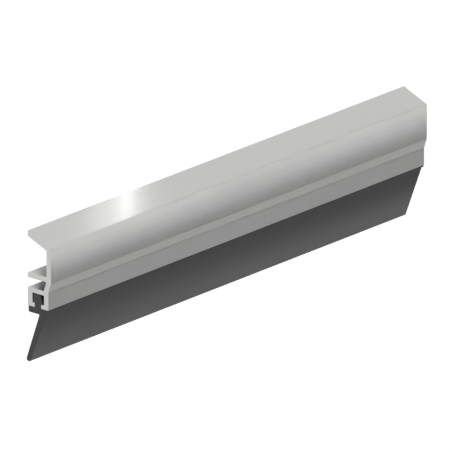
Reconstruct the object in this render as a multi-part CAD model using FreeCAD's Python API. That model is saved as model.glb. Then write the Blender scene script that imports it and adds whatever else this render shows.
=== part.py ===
import FreeCAD, Part
import math
import os

# Lip door seal: a short cut length of a face-fixed strip for the foot of a door.
# An extruded aluminium carrier holds a black rubber lip by its barbed head.
# Millimetres. X runs along the strip, +Y points to the door, +Z is up.
# A section is drawn by depth, forward from the door's face, and height, above the groove's lips.
# The origin is on the door's face, at the middle of the groove's rear wall.

# The strip
length = 180.0
edge_radius = 0.12
root_radius = 0.4
# A corner's arc may use up to this share of the shorter side beside it
most_of_side = 0.49

# The groove that grips the rubber, at the foot of the carrier
rear_wall = 1.95
front_wall = 1.87
slot_width = 4.68
slot_height = 3.2
lip_thickness = 1.4
rear_lip = 0.9
throat_width = 2.55
foot_radius = 0.35
roof_thickness = 1.5

# The upper wall, and the joggle that sets it forward of the groove
upper_wall = 1.95
joggle_step = 1.1
joggle_back_height = 3.0
joggle_front_height = 3.4
joggle_radius = 1.2

# The fin that meets the door between the groove and the flange
fin_gap = 3.15
fin_thickness = 1.6

# The sloping flange along the top
carrier_height = 24.6
flange_slope = 22.5
flange_thickness = 1.75
fold_radius = 0.5

# The rubber's barbed head, inside the groove
grip_clearance = 0.1
front_gap = 0.52
head_taper_rear = 0.25
head_taper_front = 0.95
crown_slope = 2.0
barb_radius = 0.12
crown_radius = 0.4

# The rubber's shoulder, under the groove's lips
shoulder_thickness = 2.0
shoulder_setback = 0.28
shoulder_radius = 0.5
nose_setback = 0.12
nose_height = 0.4
nose_radius = 0.2
blend_height = 0.8
blend_radius = 0.6

# The leaning lip that wipes the threshold
lip_drop = 18.55
blade_root_depth = 4.78
blade_root_thickness = 2.15
blade_tip_thickness = 1.67
blade_lean = 20.0
heel_radius = 0.3
tip_radius = 0.7

# Depths and heights that follow from the sizes above
slot_front = rear_wall + slot_width
groove_depth = slot_front + front_wall
carrier_depth = groove_depth + joggle_step
joggle_inside = groove_depth - upper_wall
upper_wall_inside = carrier_depth - upper_wall
throat_rear = rear_wall + rear_lip
throat_front = throat_rear + throat_width
ceiling = lip_thickness + slot_height
roof = ceiling + roof_thickness
fin_underside = roof + fin_gap
fin_top = fin_underside + fin_thickness
joggle_back_foot = fin_underside - joggle_back_height
joggle_front_foot = fin_underside - joggle_front_height
seat_middle = roof / 2


def slope_drop(depth):
    """How far the flange has fallen at this depth, from its edge at the door."""
    return depth * math.tan(math.radians(flange_slope))


def section_point(depth, height):
    """A point of a section, at the strip's near end."""
    return FreeCAD.Vector(-length / 2, -depth, height - seat_middle)


def corner_cut(before, corner, after, radius):
    """The two points where a corner's arc starts and ends, and the arc's middle point."""
    back = (before - corner).normalize()
    ahead = (after - corner).normalize()
    half_angle = back.getAngle(ahead) / 2
    reach = radius / math.tan(half_angle)
    shorter_side = min((before - corner).Length, (after - corner).Length)
    reach = min(reach, most_of_side * shorter_side)
    fitted_radius = reach * math.tan(half_angle)
    inward = (back + ahead).normalize()
    middle = corner + inward * (fitted_radius / math.sin(half_angle) - fitted_radius)
    return corner + back * reach, middle, corner + ahead * reach


def rounded_outline(corners):
    """A closed wire through corners given as depth, height and radius."""
    points = [section_point(depth, height) for depth, height, radius in corners]
    edges = []
    cuts = []
    for index, (depth, height, radius) in enumerate(corners):
        after = points[(index + 1) % len(points)]
        cuts.append(corner_cut(points[index - 1], points[index], after, radius))
    for index, (start, middle, end) in enumerate(cuts):
        previous_end = cuts[index - 1][2]
        edges.append(Part.LineSegment(previous_end, start).toShape())
        edges.append(Part.Arc(start, middle, end).toShape())
    return Part.Wire(edges)


def extrude_along_strip(corners):
    """The section, run along the whole strip."""
    face = Part.Face(rounded_outline(corners))
    return face.extrude(FreeCAD.Vector(length, 0, 0))


def groove_corners():
    """The groove seen from its throat, from the front lip round to the rear one."""
    return [
        (groove_depth, 0, foot_radius),
        (throat_front, 0, edge_radius),
        (throat_front, lip_thickness, edge_radius),
        (slot_front, lip_thickness, edge_radius),
        (slot_front, ceiling, edge_radius),
        (rear_wall, ceiling, edge_radius),
        (rear_wall, lip_thickness, edge_radius),
        (throat_rear, lip_thickness, edge_radius),
        (throat_rear, 0, edge_radius),
        (0, 0, edge_radius),
    ]


def back_corners():
    """The side that faces the door: the groove's roof, the fin and the flange's underside."""
    flange_rise = flange_thickness / math.cos(math.radians(flange_slope))
    return [
        (0, roof, edge_radius),
        (joggle_inside, roof, root_radius),
        (joggle_inside, joggle_back_foot, joggle_radius),
        (upper_wall_inside, fin_underside, root_radius),
        (0, fin_underside, edge_radius),
        (0, fin_top, edge_radius),
        (upper_wall_inside, fin_top, root_radius),
        (upper_wall_inside, carrier_height - flange_rise - slope_drop(upper_wall_inside), root_radius),
        (0, carrier_height - flange_rise, edge_radius),
        (0, carrier_height, edge_radius),
    ]


def front_corners():
    """The side that is seen: the fold, the upper wall and the joggle."""
    return [
        (carrier_depth, carrier_height - slope_drop(carrier_depth), fold_radius),
        (carrier_depth, fin_underside, joggle_radius),
        (groove_depth, joggle_front_foot, joggle_radius),
    ]


def make_carrier():
    """The extruded aluminium carrier."""
    return extrude_along_strip(groove_corners() + back_corners() + front_corners())


def head_corners():
    """The barbed head and its neck, from the front of the neck round to the rear."""
    neck_front = throat_front - grip_clearance
    neck_rear = throat_rear + grip_clearance
    barb_underside = lip_thickness + grip_clearance
    barb_front = slot_front - front_gap
    barb_rear = rear_wall + grip_clearance
    crown_front = barb_front - head_taper_front
    crown_rear = barb_rear + head_taper_rear
    crown_top = ceiling - grip_clearance
    crown_fall = (crown_front - crown_rear) * math.tan(math.radians(crown_slope))
    return [
        (neck_front, 0, barb_radius),
        (neck_front, barb_underside, barb_radius),
        (barb_front, barb_underside, barb_radius),
        (crown_front, crown_top, crown_radius),
        (crown_rear, crown_top - crown_fall, crown_radius),
        (barb_rear, barb_underside, barb_radius),
        (neck_rear, barb_underside, barb_radius),
        (neck_rear, 0, barb_radius),
    ]


def blade_corners():
    """The shoulder under the groove and the lip that tapers to its rounded tip."""
    lean = math.radians(blade_lean)
    along = FreeCAD.Vector(-math.sin(lean), -math.cos(lean), 0)
    across = FreeCAD.Vector(math.cos(lean), -math.sin(lean), 0)
    root_rear = FreeCAD.Vector(blade_root_depth, -shoulder_thickness, 0)
    root_middle = root_rear + across * (blade_root_thickness / 2)
    tip_half = across * (blade_tip_thickness / 2)
    run = (lip_drop + root_middle.y + tip_half.y) / math.cos(lean)
    tip_middle = root_middle + along * run
    tip_rear = tip_middle - tip_half
    tip_front = tip_middle + tip_half
    root_front = root_middle + across * (blade_root_thickness / 2)
    front_slant = (root_front.x - tip_front.x) / (root_front.y - tip_front.y)
    nose_depth = groove_depth - nose_setback
    blend_depth = root_front.x + front_slant * (-blend_height - root_front.y)
    return [
        (shoulder_setback, 0, edge_radius),
        (shoulder_setback, -shoulder_thickness, shoulder_radius),
        (root_rear.x, root_rear.y, heel_radius),
        (tip_rear.x, tip_rear.y, tip_radius),
        (tip_front.x, tip_front.y, tip_radius),
        (blend_depth, -blend_height, blend_radius),
        (nose_depth, -nose_height, nose_radius),
        (nose_depth, 0, nose_radius),
    ]


def make_seal():
    """The rubber seal, moulded as one strip."""
    return extrude_along_strip(head_corners() + blade_corners())


os.makedirs("parts", exist_ok=True)
carrier = make_carrier()
seal = make_seal()
carrier.exportStep("parts/carrier_profile.step")
seal.exportStep("parts/lip_seal.step")

for name, shape in (("carrier_profile", carrier), ("lip_seal", seal)):
    box = shape.BoundBox
    print(name, shape.isValid(), round(shape.Volume, 1), "mm3,",
          round(box.YMin, 2), round(box.YMax, 2), round(box.ZMin, 2), round(box.ZMax, 2))
print("overlap", round(carrier.common(seal).Volume, 4), "mm3")
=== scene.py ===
# %% [markdown]
# # A lip door seal
# This lesson dresses a short length of door seal and photographs it. The real thing is two strips: an
# extruded aluminium carrier that is fixed to the face of a door, and a black rubber lip that the carrier
# grips in a groove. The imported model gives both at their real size, so the work here is the sawn ends, the
# finishes, the light and the camera.

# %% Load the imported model
import math
import bpy
from mathutils import Matrix, Vector


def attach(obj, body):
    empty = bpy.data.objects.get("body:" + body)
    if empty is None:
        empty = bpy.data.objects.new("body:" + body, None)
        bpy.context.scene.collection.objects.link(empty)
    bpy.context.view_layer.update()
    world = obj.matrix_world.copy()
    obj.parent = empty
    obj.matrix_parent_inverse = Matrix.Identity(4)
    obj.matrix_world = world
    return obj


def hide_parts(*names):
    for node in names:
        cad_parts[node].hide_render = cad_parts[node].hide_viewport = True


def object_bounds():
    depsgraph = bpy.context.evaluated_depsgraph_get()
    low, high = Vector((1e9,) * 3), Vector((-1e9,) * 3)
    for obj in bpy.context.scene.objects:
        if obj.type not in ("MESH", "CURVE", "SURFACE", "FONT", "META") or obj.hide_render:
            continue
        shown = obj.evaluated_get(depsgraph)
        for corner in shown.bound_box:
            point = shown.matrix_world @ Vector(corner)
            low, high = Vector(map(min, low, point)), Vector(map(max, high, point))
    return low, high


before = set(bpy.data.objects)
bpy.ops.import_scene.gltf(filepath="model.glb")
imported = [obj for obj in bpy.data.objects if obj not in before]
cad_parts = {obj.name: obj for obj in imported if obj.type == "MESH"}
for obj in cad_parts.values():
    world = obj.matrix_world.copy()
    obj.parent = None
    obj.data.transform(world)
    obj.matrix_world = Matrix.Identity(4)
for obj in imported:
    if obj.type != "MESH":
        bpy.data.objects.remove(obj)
cad_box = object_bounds()
lowest, highest = cad_box
MM = 0.001
half_length = highest.x
print("nodes:", sorted(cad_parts), "- half of the strip's length:", round(half_length / MM, 2), "mm")

# %% [markdown]
# ## Copies to dress
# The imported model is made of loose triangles, which can't be chamfered or shaded softly. So each strip is
# copied, its doubles are merged, and the triangles of each flat face become one face again.

# %% Copy a strip with its doubles merged
MERGE_DISTANCE = 0.002 * MM
FLAT_ANGLE = math.radians(1.0)


def only(piece):
    """Select one object and make it the active one."""
    bpy.ops.object.select_all(action="DESELECT")
    piece.select_set(True)
    bpy.context.view_layer.objects.active = piece


def copy_of_node(node, name):
    """A copy of a CAD node with a mesh of its own, its doubles merged."""
    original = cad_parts[node]
    piece = bpy.data.objects.new(name, original.data.copy())
    bpy.context.scene.collection.objects.link(piece)
    only(piece)
    bpy.ops.object.mode_set(mode="EDIT")
    bpy.ops.mesh.select_all(action="SELECT")
    bpy.ops.mesh.remove_doubles(threshold=MERGE_DISTANCE)
    bpy.ops.mesh.customdata_custom_splitnormals_clear()
    bpy.ops.mesh.dissolve_limited(angle_limit=FLAT_ANGLE)
    bpy.ops.object.mode_set(mode="OBJECT")
    print(name, "- corners:", len(piece.data.vertices), "- faces:", len(piece.data.polygons))
    return piece


carrier = copy_of_node("carrier_profile", "carrier")
seal = copy_of_node("lip_seal", "seal")

# %% [markdown]
# ## Sawn ends
# A saw leaves the ends of both strips square, and a light pass with a file takes the burr off. A CAD solid
# has perfectly sharp ends, so the outline of each end is chamfered by a twentieth of a millimetre. The bevel
# tool would lift some points off the rounded corners, past the solid. So the outline slides back along the
# strip, and then the end face is inset and put back in its place. The chamfer is narrower than the smallest
# corner's radius, and stays inside the solid.

# %% Break the edges of the ends
END_REACH = 0.01 * MM
SMOOTH_ANGLE = math.radians(32)
BROKEN_EDGE = 0.05 * MM
LARGEST_FACE_WINS = 100


def draw_back_ends(piece, width):
    """Select the faces of the two sawn ends, and slide their corners into the strip by this width."""
    mesh = piece.data
    for part in (mesh.vertices, mesh.edges, mesh.polygons):
        part.foreach_set("select", [False] * len(part))
    for face in mesh.polygons:
        face.select = abs(face.center.x) > half_length - END_REACH
    corners = [vertex for vertex in mesh.vertices if abs(vertex.co.x) > half_length - END_REACH]
    for corner in corners:
        corner.co.x *= 1 - width / half_length
    return len(corners)


def flatten_large_faces(piece):
    """Let the largest face at each corner set its normal, so that long flats stay flat beside chamfers."""
    modifier = piece.modifiers.new("flats", "WEIGHTED_NORMAL")
    modifier.keep_sharp = True
    modifier.weight = LARGEST_FACE_WINS
    bpy.ops.object.modifier_apply(modifier=modifier.name)


def break_end_edges(piece, width):
    """Chamfer the outline of both ends."""
    only(piece)
    bpy.ops.object.mode_set(mode="EDIT")
    bpy.ops.mesh.select_mode(type="FACE")
    bpy.ops.object.mode_set(mode="OBJECT")
    count = draw_back_ends(piece, width)
    bpy.ops.object.mode_set(mode="EDIT")
    bpy.ops.mesh.inset(thickness=width, depth=width)
    bpy.ops.mesh.select_all(action="SELECT")
    bpy.ops.mesh.quads_convert_to_tris()
    bpy.ops.object.mode_set(mode="OBJECT")
    bpy.ops.object.shade_smooth_by_angle(angle=SMOOTH_ANGLE)
    flatten_large_faces(piece)
    print(piece.name, "- corners of its ends:", count, "- faces now:", len(piece.data.polygons))


break_end_edges(carrier, BROKEN_EDGE)
break_end_edges(seal, BROKEN_EDGE)

# %% [markdown]
# ## Shader maths as sentences
# A finish is a sum of small patterns. Written as nodes one by one it is hard to read, so a small class wraps
# a socket and lets Python's own signs add the Math nodes.

# %% Wrap a socket


class Signal:
    """A number that varies over the surface: the output of a node."""

    def __init__(self, finish, socket):
        self.finish = finish
        self.socket = socket

    def maths(self, operation, first, second=0.0):
        node = self.finish.node("ShaderNodeMath", {"operation": operation}, {0: first, 1: second})
        return Signal(self.finish, node.outputs[0])

    def __add__(self, other):
        return self.maths("ADD", self, other)

    def __radd__(self, other):
        return self.maths("ADD", other, self)

    def __sub__(self, other):
        return self.maths("SUBTRACT", self, other)

    def __rsub__(self, other):
        return self.maths("SUBTRACT", other, self)

    def __mul__(self, other):
        return self.maths("MULTIPLY", self, other)

    def __rmul__(self, other):
        return self.maths("MULTIPLY", other, self)

    def __abs__(self):
        return self.maths("ABSOLUTE", self)

    def __gt__(self, limit):
        return self.maths("GREATER_THAN", self, limit)

    def at_least(self, floor):
        return self.maths("MAXIMUM", self, floor)

    def at_most(self, ceiling):
        return self.maths("MINIMUM", self, ceiling)

    def sine(self):
        return self.maths("SINE", self)


print("a Signal takes + - * > and abs(), and makes a Math node of each")

# %% [markdown]
# ## A material ready to be fed
# Every other node comes from one method, which takes the node's type, its settings and its inputs. The
# patterns read the place on the strip in millimetres, so a number here is a size on the real thing.

# %% Start a material and add its nodes
RECESS_SAMPLES = 8


class Finish:
    """A material for one of the strips, with its shader ready to be fed."""

    def __init__(self, name):
        self.material = bpy.data.materials.new(name)
        self.material.use_nodes = True
        self.tree = self.material.node_tree
        self.shader = self.tree.nodes["Principled BSDF"]
        self.place = self.node("ShaderNodeTexCoord", {}, {}).outputs["Object"]

    def node(self, kind, settings, inputs):
        """Add a node, make its settings, then fill its inputs with values or links."""
        node = self.tree.nodes.new(kind)
        for key, value in settings.items():
            setattr(node, key, value)
        for key, value in inputs.items():
            self.feed(node.inputs[key], value)
        return node

    def feed(self, target, value):
        """Link a signal or a socket to an input, or set the input to a plain value."""
        if isinstance(value, Signal):
            value = value.socket
        if isinstance(value, bpy.types.NodeSocket):
            self.tree.links.new(value, target)
        else:
            target.default_value = value

    def axes(self):
        """The place on the strip, in millimetres, as three signals."""
        inputs = {0: self.place, "Scale": 1 / MM}
        scaled = self.node("ShaderNodeVectorMath", {"operation": "SCALE"}, inputs)
        parts = self.node("ShaderNodeSeparateXYZ", {}, {0: scaled.outputs[0]})
        return [Signal(self, parts.outputs[index]) for index in range(3)]

    def noise(self, cells_per_mm, detail=2.0, roughness=0.5):
        """Soft noise with this many cells in a millimetre along each axis."""
        stretch = [cells / MM for cells in cells_per_mm]
        mapped = self.node("ShaderNodeMapping", {}, {"Vector": self.place, "Scale": stretch})
        settings = {"noise_dimensions": "3D"}
        inputs = {"Vector": mapped.outputs[0], "Scale": 1.0, "Detail": detail, "Roughness": roughness}
        return Signal(self, self.node("ShaderNodeTexNoise", settings, inputs).outputs[0])

    def blend(self, amount, first, second):
        """A colour between two others."""
        node = self.node("ShaderNodeMix", {"data_type": "RGBA"}, {"Factor": amount})
        colours = [socket for socket in node.inputs if socket.type == "RGBA"]
        self.feed(colours[0], first)
        self.feed(colours[1], second)
        return [socket for socket in node.outputs if socket.type == "RGBA"][0]

    def recess(self, reach_mm):
        """How far a place lies in a recess: nothing in the open, up to one in a narrow corner."""
        inputs = {"Distance": reach_mm * MM}
        node = self.node("ShaderNodeAmbientOcclusion", {"samples": RECESS_SAMPLES}, inputs)
        return 1 - Signal(self, node.outputs["AO"])

    def bump(self, height_mm, strength):
        """A bump whose height is given in millimetres."""
        inputs = {"Strength": strength, "Distance": MM, "Height": height_mm}
        self.feed(self.shader.inputs["Normal"], self.node("ShaderNodeBump", {}, inputs).outputs[0])

    def constants(self, **values):
        """Set what is the same all over on the shader's own sockets."""
        for name, value in values.items():
            self.shader.inputs[name.replace("_", " ")].default_value = value


print("a Finish measures its patterns in millimetres:", 1 / MM, "to the metre")

# %% [markdown]
# ## Saw marks
# Both strips were cut with a saw, so each finish has to know where its ends are: a mask finds them by their
# place along the strip. On the metal the teeth leave arcs. They are waves in the distance from the middle of
# the blade, which lies far behind and below the strip, with a wobble and finer scratches so that no two are
# alike.

# %% Find the sawn ends and draw the saw's arcs
END_DEPTH = 0.02
SAW_RADIUS = 125.0
SAW_BEHIND = SAW_RADIUS * 0.8
SAW_BELOW = SAW_RADIUS * 0.6
SAW_MARKS_PER_MM = 1.7
SAW_WOBBLE = 1.5


def near_the_ends(finish, reach_mm):
    """One within this reach of the two sawn ends, zero elsewhere."""
    along = finish.axes()[0]
    return abs(along) > half_length / MM - reach_mm


def saw_arcs(finish):
    """Waves and scratches between 0 and 1 that follow the arcs of a circular blade."""
    across, up = finish.axes()[1:]
    from_middle = {"Y": across - SAW_BEHIND, "Z": up + SAW_BELOW}
    joined = finish.node("ShaderNodeCombineXYZ", {}, from_middle)
    distance = finish.node("ShaderNodeVectorMath", {"operation": "LENGTH"}, {0: joined.outputs[0]})
    reach = Signal(finish, distance.outputs["Value"])
    wobble = finish.noise((0.0, 0.5, 0.5), detail=2.0)
    wave = (reach + wobble * SAW_WOBBLE) * (SAW_MARKS_PER_MM * math.tau)
    scratches = finish.noise((0.0, 6.0, 1.5), detail=3.0)
    return (wave.sine() * 0.25 + 0.5) * 0.6 + scratches * 0.4


print("saw marks:", SAW_MARKS_PER_MM, "to the millimetre, on the last", END_DEPTH, "mm of each end")

# %% [markdown]
# ## Painted shade in the channel
# The channel behind the wall is painted darker, most of all on its two ledges, and less so near the cut ends
# and towards the channel's mouth: this is painted shade, not a colour of the metal. Ambient occlusion finds
# the recess, and the place along the strip and across it says how far in a point lies.

# %% Paint shade into the recesses
RECESS_REACH = 12.0
LEDGE_HEIGHTS = (7.8, 3.05)
LEDGE_SHARPNESS = 2.5
LEDGE_SHADE = 0.9
SHADE_FADE_LENGTH = 6.2


def painted_shade_in_channel(finish):
    """Painted shade in the recesses, strongest on the ledges, fading near the cut ends and the channel's
    mouth.
    """
    along, across, up = finish.axes()
    ledges = [(1 - abs(up - height) * LEDGE_SHARPNESS).at_least(0.0) for height in LEDGE_HEIGHTS]
    on_ledges = 1 + (ledges[0] + ledges[1]) * LEDGE_SHADE
    recess_darkness = (finish.recess(RECESS_REACH) * on_ledges).at_most(1.0)
    way_in = half_length / MM - abs(along) - across
    return recess_darkness * (way_in * (1 / SHADE_FADE_LENGTH)).at_most(1.0)


# The darkening on the ledges and in the channel is painted shade, fading towards the cut ends.
print("dust lies on the ledges at", LEDGE_HEIGHTS, "mm, and is wiped off over", SHADE_FADE_LENGTH, "mm")

# %% [markdown]
# ## Anodised aluminium
# The carrier comes off the press with faint lines along its whole length, where the die dragged, and is then
# etched to a fine satin grain and anodised. So the pattern is noise that does not change along X: it tints
# the metal a little, moves its roughness and lifts its surface by a few thousandths of a millimetre. Here
# and there one faint line is deeper than the rest. The clear oxide on top is a thin coat. The sawn ends have
# no oxide, and show the arcs of the blade instead of the lines; the darker bands of the arcs are partly the
# cut's own tone and partly painted shade in their grooves. The recesses of the channel are painted darker,
# which is painted shade, and are made rougher and left without the coat there.

# %% Make the aluminium finish
ALUMINIUM = (0.465, 0.463, 0.456, 1.0)
ALUMINIUM_LIGHT = (0.577, 0.575, 0.566, 1.0)
# The darkest colour is painted shade in the channel's recesses.
ALUMINIUM_SHADED = (0.12, 0.118, 0.114, 1.0)
SAWN_DARK = (0.47, 0.47, 0.465, 1.0)
SAWN_LIGHT = (0.655, 0.655, 0.65, 1.0)
DEEP_LINE_LEVEL = 0.58
DEEP_LINE_SHARPNESS = 60
SATIN_ROUGHNESS = 0.245
SAWN_ROUGHNESS = 0.42
RECESS_ROUGHNESS = 0.2
DIE_LINE_HEIGHT = 0.0035
DEEP_LINE_DEPTH = 0.003
ETCHED_GRAIN_HEIGHT = 0.002
SAW_MARK_HEIGHT = 0.02
METAL_BUMP = 0.7
OXIDE_COAT = 0.3


def make_aluminium():
    """Satin silver anodising over die lines, with sawn ends."""
    finish = Finish("anodised_aluminium")
    fine_lines = finish.noise((0.0, 8.0, 8.0), detail=3.0, roughness=0.6)
    broad_lines = finish.noise((0.0, 1.1, 1.1), detail=1.0)
    deep_places = finish.noise((0.0, 2.3, 2.3), detail=0.0)
    deep_lines = (1 - abs(deep_places - DEEP_LINE_LEVEL) * DEEP_LINE_SHARPNESS).at_least(0.0)
    grain = finish.noise((11.0, 11.0, 11.0), detail=2.0, roughness=0.7)
    cloud = finish.noise((0.04, 0.12, 0.12), detail=2.0)
    end = near_the_ends(finish, END_DEPTH)
    arcs = saw_arcs(finish)
    # Painted shade in the recesses; the same mask also makes the metal rougher and takes the coat off there.
    recess_shade = painted_shade_in_channel(finish)

    side_tone = 0.5 + (fine_lines - 0.5) * 1.2 + (grain - 0.5)
    side_tone = side_tone + (broad_lines + cloud - 1) * 0.2 - deep_lines * 0.15
    side_colour = finish.blend(side_tone, ALUMINIUM, ALUMINIUM_LIGHT)
    # The recesses are painted darker here: painted shade.
    side_colour = finish.blend(recess_shade, side_colour, ALUMINIUM_SHADED)
    # The darker bands of the arcs are partly the cut's own tone and partly painted shade in the grooves of
    # the saw marks.
    end_colour = finish.blend(arcs, SAWN_DARK, SAWN_LIGHT)
    finish.feed(finish.shader.inputs["Base Color"], finish.blend(end, side_colour, end_colour))

    side_roughness = SATIN_ROUGHNESS + fine_lines * 0.06 + grain * 0.06 + recess_shade * RECESS_ROUGHNESS
    end_roughness = SAWN_ROUGHNESS + arcs * 0.08
    finish.feed(finish.shader.inputs["Roughness"], side_roughness * (1 - end) + end_roughness * end)

    lines_height = fine_lines * DIE_LINE_HEIGHT + broad_lines * DIE_LINE_HEIGHT
    side_height = lines_height + grain * ETCHED_GRAIN_HEIGHT - deep_lines * DEEP_LINE_DEPTH
    finish.bump(side_height * (1 - end) + arcs * end * SAW_MARK_HEIGHT, METAL_BUMP)

    finish.feed(finish.shader.inputs["Coat Weight"], OXIDE_COAT * (1 - end) * (1 - recess_shade))
    finish.constants(Metallic=1.0, Coat_Roughness=0.15, Coat_IOR=1.5)
    return finish.material


carrier.data.materials.clear()
carrier.data.materials.append(make_aluminium())
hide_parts("carrier_profile")
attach(carrier, "root")
print(carrier.name, "has", carrier.data.materials[0].name)

# %% [markdown]
# ## Rubber
# The lip is extruded too, so it also has lines along its length, but softer and wider. Rubber is dull, dark
# grey rather than black, with a fine grain and a faint bloom that clouds its colour. The cut face is a little
# lighter and rougher, and the sides are darker in a narrow rim beside it, where the blade rubbed the bloom
# off.

# %% Make the rubber finish
RUBBER = (0.024, 0.024, 0.0243, 1.0)
RUBBER_BLOOM = (0.0585, 0.0585, 0.0592, 1.0)
RUBBER_CUT = (0.058, 0.058, 0.0589, 1.0)
RUBBER_CUT_PALE = (0.096, 0.096, 0.0974, 1.0)
RUBBER_RIM = (0.012, 0.012, 0.0122, 1.0)
RIM_WIDTH = 0.3
RIM_SHARE = 0.6
RUBBER_ROUGHNESS = 0.48
CUT_ROUGHER = 0.12
SOFT_LINE_HEIGHT = 0.010
RUBBER_GRAIN_HEIGHT = 0.006
CUT_LINE_HEIGHT = 0.02
CUT_GRAIN_HEIGHT = 0.01
RUBBER_BUMP = 0.8


def make_rubber():
    """Dull black rubber with a fine grain and soft lines along the strip."""
    finish = Finish("black_rubber")
    lines = finish.noise((0.0, 3.5, 3.5), detail=3.0)
    grain = finish.noise((6.0, 6.0, 6.0), detail=3.0, roughness=0.65)
    bloom = finish.noise((0.06, 0.2, 0.2), detail=4.0, roughness=0.6)
    drag = finish.noise((0.0, 1.0, 5.0), detail=3.0)
    end = near_the_ends(finish, END_DEPTH)
    rim = near_the_ends(finish, RIM_WIDTH)

    tone = 0.5 + (bloom - 0.5) * 0.8 + (lines - 0.5) * 0.8 + (grain - 0.5)
    colour = finish.blend(tone, RUBBER, RUBBER_BLOOM)
    colour = finish.blend(rim * RIM_SHARE, colour, RUBBER_RIM)
    cut_colour = finish.blend(drag, RUBBER_CUT, RUBBER_CUT_PALE)
    finish.feed(finish.shader.inputs["Base Color"], finish.blend(end, colour, cut_colour))

    roughness = RUBBER_ROUGHNESS + grain * 0.1 + bloom * 0.08 + end * CUT_ROUGHER
    finish.feed(finish.shader.inputs["Roughness"], roughness)

    side_height = lines * SOFT_LINE_HEIGHT + grain * RUBBER_GRAIN_HEIGHT
    cut_height = drag * CUT_LINE_HEIGHT + grain * CUT_GRAIN_HEIGHT
    finish.bump(side_height * (1 - end) + cut_height * end, RUBBER_BUMP)
    finish.constants(Specular_IOR_Level=0.35)
    return finish.material


seal.data.materials.clear()
seal.data.materials.append(make_rubber())
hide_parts("lip_seal")
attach(seal, "root")
print(seal.name, "has", seal.data.materials[0].name)

# %% [markdown]
# ## Camera
# In the photo the far end of the strip is as tall as the near one, so it was drawn without perspective. A
# very long lens from far away comes within a pixel of that, and still lets the other views fit the whole
# strip in. The angles come from the slopes of the strip's edges in the photo, and the aim from the places of
# its two ends.

# %% Place the camera
VIEW_AZIMUTH = math.radians(-49.37)
VIEW_ELEVATION = math.radians(19.40)
PHOTO_SIDE = 452
PHOTO_PIXELS_PER_MM = 3.2065
LENS = 1700.0
SENSOR = 36.0
NEAREST_SEEN = 0.1
AIM = Vector((-1.28, -4.6, 0.22)) * MM


def towards(azimuth, elevation):
    """The direction from the strip to something at this azimuth and elevation."""
    level = math.cos(elevation)
    return Vector((math.sin(azimuth) * level, -math.cos(azimuth) * level, math.sin(elevation)))


frame_width = PHOTO_SIDE / PHOTO_PIXELS_PER_MM * MM
camera_distance = frame_width * LENS / SENSOR
back = towards(VIEW_AZIMUTH, VIEW_ELEVATION)
camera_data = bpy.data.cameras.new("camera")
camera_data.lens = LENS
camera_data.sensor_width = SENSOR
camera_data.clip_start = NEAREST_SEEN
camera_data.clip_end = 2 * camera_distance
camera = bpy.data.objects.new("camera", camera_data)
camera.location = AIM + back * camera_distance
camera.rotation_mode = "QUATERNION"
camera.rotation_quaternion = (-back).to_track_quat("-Z", "Y")
bpy.context.scene.collection.objects.link(camera)
bpy.context.scene.camera = camera
print("camera at", [round(value, 3) for value in camera.location], "m")

# %% [markdown]
# ## Surroundings
# The photo's ground is plain white. The world is white to the camera and in reflections, and gives a lower,
# soft light to everything else: a Light Path node tells the two kinds of ray apart.

# %% Make the world
SOFT_LIGHT = 0.55


def seen_or_mirrored(tree):
    """One for rays from the camera and for reflected or refracted ones."""
    path = tree.nodes.new("ShaderNodeLightPath")
    total = path.outputs["Is Camera Ray"]
    for name in ("Is Glossy Ray", "Is Transmission Ray"):
        larger = tree.nodes.new("ShaderNodeMath")
        larger.operation = "MAXIMUM"
        tree.links.new(total, larger.inputs[0])
        tree.links.new(path.outputs[name], larger.inputs[1])
        total = larger.outputs[0]
    return total


def make_world():
    """A room that looks white and lights softly."""
    world = bpy.data.worlds.new("white_room")
    world.use_nodes = True
    tree = world.node_tree
    background = tree.nodes["Background"]
    background.inputs["Color"].default_value = (1, 1, 1, 1)
    strength = tree.nodes.new("ShaderNodeMapRange")
    strength.inputs["To Min"].default_value = SOFT_LIGHT
    strength.inputs["To Max"].default_value = 1.0
    tree.links.new(seen_or_mirrored(tree), strength.inputs["Value"])
    tree.links.new(strength.outputs[0], background.inputs["Strength"])
    bpy.context.scene.world = world


make_world()
print("the world lights at", SOFT_LIGHT, "and is seen as white")

# %% [markdown]
# ## Floor
# No shadow shows in the photo, so the floor lies well below the strip, as if it were held up on a stand. It
# is matt and pale, and glows to the camera and in reflections alone, which lifts it to white there.

# %% Lay the floor
FLOOR_DROP = 0.35
FLOOR_RADIUS = 6.0
FLOOR_SIDES = 96
FLOOR_PAINT = (0.8, 0.8, 0.8, 1)
FLOOR_GLOW = 0.58


def make_floor():
    """A large pale disc that keeps the strip's shadow."""
    bpy.ops.object.select_all(action="DESELECT")
    bpy.ops.mesh.primitive_circle_add(vertices=FLOOR_SIDES, radius=FLOOR_RADIUS, fill_type="NGON",
                                      location=(0, 0, lowest.z - FLOOR_DROP))
    floor = bpy.context.active_object
    floor.name = "floor"
    bpy.ops.object.transform_apply(location=True)
    material = bpy.data.materials.new("pale_floor")
    material.use_nodes = True
    tree = material.node_tree
    paint = tree.nodes["Principled BSDF"]
    paint.inputs["Base Color"].default_value = FLOOR_PAINT
    paint.inputs["Roughness"].default_value = 1.0
    paint.inputs["Emission Color"].default_value = (1, 1, 1, 1)
    glow = tree.nodes.new("ShaderNodeMath")
    glow.operation = "MULTIPLY"
    glow.inputs[1].default_value = FLOOR_GLOW
    tree.links.new(seen_or_mirrored(tree), glow.inputs[0])
    tree.links.new(glow.outputs[0], paint.inputs["Emission Strength"])
    floor.data.materials.append(material)


make_floor()
print("floor", FLOOR_DROP, "m below the lip")

# %% [markdown]
# ## What the faces mirror
# Metal shows what it faces, so a lamp for one face has to hang where that face mirrors it. The normal of
# each main face is averaged from the model, and the camera's line of sight is sent off it.

# %% Find what the main faces point at
SAME_WAY = math.cos(math.radians(12))


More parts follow.
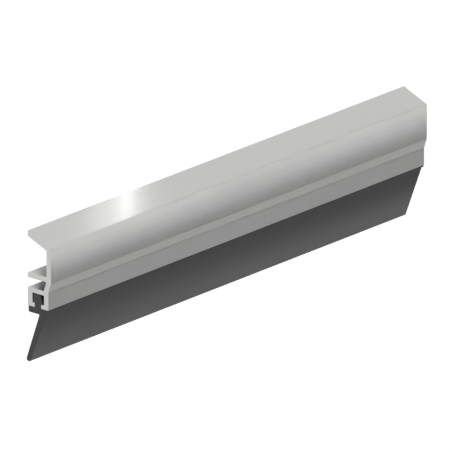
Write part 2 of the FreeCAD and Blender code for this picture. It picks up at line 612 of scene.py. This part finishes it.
def main_normal(piece, rough_direction):
    """The average normal of the faces that point roughly this way."""
    rough = Vector(rough_direction).normalized()
    total = Vector((0, 0, 0))
    for face in piece.data.polygons:
        if face.normal.dot(rough) > SAME_WAY:
            total += face.normal * face.area
    return total.normalized()


def mirrored(normal):
    """Where a face with this normal sends the camera's line of sight."""
    return 2 * back.dot(normal) * normal - back


wall_normal = main_normal(carrier, (0, -1, 0))
flange_normal = main_normal(carrier, (0, -0.36, 0.93))
lip_normal = main_normal(seal, (0, -0.93, -0.36))
for name, normal in (("wall", wall_normal), ("flange", flange_normal), ("lip", lip_normal)):
    sends = [round(value, 3) for value in mirrored(normal)]
    print(name, "faces", [round(value, 3) for value in normal], "mirrors", sends)

# %% [markdown]
# ## Lamps
# Two strip lamps with honeycomb grids, whose beams have soft edges, light the top of the wall and the lower
# part of the lip, so that both faces shade from one edge to the other, and a third picks out the foot of the
# carrier. The wall's lamp hangs furthest off, so that its beam is nearly as soft at one end of the strip as
# at the other. It is also turned a little towards the near end and tilted a little, so that both ends are lit
# alike.
#
# Two thin strip lamps above make the highlight on the flange and its tail: they are turned so that their
# mirror images stand upright in the picture. A large lamp overhead gives the soft light on the top of the
# strip, and casts the strip's shadow on the floor.

# %% Build a lamp
ALONG_STRIP = Vector((1, 0, 0))
MIDDLE = 0.0
LOWER_EDGE = 0.5
UPPER_EDGE = -0.5


def lamp_axes(shine, along):
    """A lamp's width, height and back, when it shines back from this direction."""
    shine = shine.normalized()
    width = (along - along.dot(shine) * shine).normalized()
    return width, shine.cross(width), shine


def hang_lamp(name, target, direction, distance, size, power, spread, along=ALONG_STRIP, in_line=MIDDLE):
    """A rectangular lamp with its middle, or its lower or upper edge, in line with the target."""
    width, height, shine = lamp_axes(direction, along)
    data = bpy.data.lights.new(name, "AREA")
    data.shape = "RECTANGLE"
    data.size, data.size_y = size
    data.energy = power
    data.spread = math.radians(spread)
    lamp = bpy.data.objects.new(name, data)
    lamp.rotation_mode = "QUATERNION"
    lamp.rotation_quaternion = Matrix((width, height, shine)).transposed().to_quaternion()
    lamp.location = target + shine * distance + height * size[1] * in_line
    lamp.visible_camera = False
    bpy.context.scene.collection.objects.link(lamp)
    print(name, "hangs", distance, "m off, with a beam of", spread, "degrees")


# %% Hang the lamps
WALL_EDGE = Vector((0, -9.6, 11.5)) * MM
JOGGLE_EDGE = Vector((0, -9.0, 5.6)) * MM
LIP_EDGE = Vector((0, -4.6, -14.5)) * MM
HIGHLIGHT = Vector((-49.3, -4.8, 19.8)) * MM
HIGHLIGHT_TAIL = Vector((-62.3, -4.8, 19.8)) * MM
TO_NEAR_END = Vector((-0.0085, -0.0074, -0.004))
TILTED = Vector((1, 0, -0.006))
OPEN_BEAM = 180
camera_right = Vector((math.cos(VIEW_AZIMUTH), math.sin(VIEW_AZIMUTH), 0))
across_flange = camera_right - 2 * camera_right.dot(flange_normal) * flange_normal

hang_lamp("overhead", Vector((0, 0, 0)), towards(math.radians(-160), math.radians(60)),
          distance=0.9, size=(0.8, 0.8), power=0.9, spread=OPEN_BEAM)
hang_lamp("wall_lamp", WALL_EDGE, mirrored(wall_normal) + TO_NEAR_END,
          distance=0.6, size=(0.2, 0.06), power=0.000388, spread=1.4, along=TILTED, in_line=LOWER_EDGE)
hang_lamp("foot_lamp", JOGGLE_EDGE, mirrored(wall_normal),
          distance=0.2, size=(0.16, 0.012), power=0.0000096, spread=1.25, in_line=UPPER_EDGE)
hang_lamp("lip_lamp", LIP_EDGE, mirrored(lip_normal),
          distance=0.2, size=(0.16, 0.06), power=0.0034, spread=4.0, in_line=UPPER_EDGE)
hang_lamp("flange_lamp", HIGHLIGHT, mirrored(flange_normal),
          distance=0.05, size=(0.003, 0.04), power=0.00112, spread=OPEN_BEAM, along=across_flange)
hang_lamp("tail_lamp", HIGHLIGHT_TAIL, mirrored(flange_normal),
          distance=0.055, size=(0.003, 0.04), power=0.0003, spread=OPEN_BEAM, along=across_flange)

# %% [markdown]
# ## Grey card
# The upright faces are darker than the flange, because they mirror the ground in front and not the sky. A
# long matt card stands low in front of the strip and is seen only in the metal and the rubber. Its foot stops
# short of what the joggle's slope mirrors, so the slope stays lighter than the faces above and below it.

# %% Lay the card along the strip
CARD_LENGTH = 3.0
CARD_TOP = Vector((0, -0.63, -0.19))
CARD_FOOT = Vector((0, -0.1615, -0.3235))
CARD_GREY = 0.303


def make_card(name, length, top, foot, grey):
    """A matt card from top to foot that only shows in the metal and the rubber."""
    bpy.ops.object.select_all(action="DESELECT")
    bpy.ops.mesh.primitive_plane_add(size=1.0)
    card = bpy.context.active_object
    card.name = name
    slope = top - foot
    rise = slope.normalized()
    turn = Matrix((ALONG_STRIP, rise, ALONG_STRIP.cross(rise))).transposed()
    size = Matrix.Diagonal((length, slope.length, 1, 1))
    card.data.transform(Matrix.Translation((top + foot) / 2) @ turn.to_4x4() @ size)
    material = bpy.data.materials.new(name)
    material.use_nodes = True
    tree = material.node_tree
    glow = tree.nodes.new("ShaderNodeEmission")
    glow.inputs["Color"].default_value = (grey, grey, grey, 1)
    tree.links.new(glow.outputs[0], tree.nodes["Material Output"].inputs[0])
    card.data.materials.append(material)
    card.visible_camera = False
    card.visible_shadow = False
    card.visible_diffuse = False


make_card("front_card", CARD_LENGTH, CARD_TOP, CARD_FOOT, CARD_GREY)
print("card", CARD_LENGTH, "m long and", round((CARD_TOP - CARD_FOOT).length, 3), "m from top to foot")

# %% [markdown]
# ## Colours as written
# The Standard view shows a colour as it is written, so the white ground comes out white and the greys can be
# compared with the photo's.

# %% Set the view
bpy.context.scene.view_settings.view_transform = "Standard"
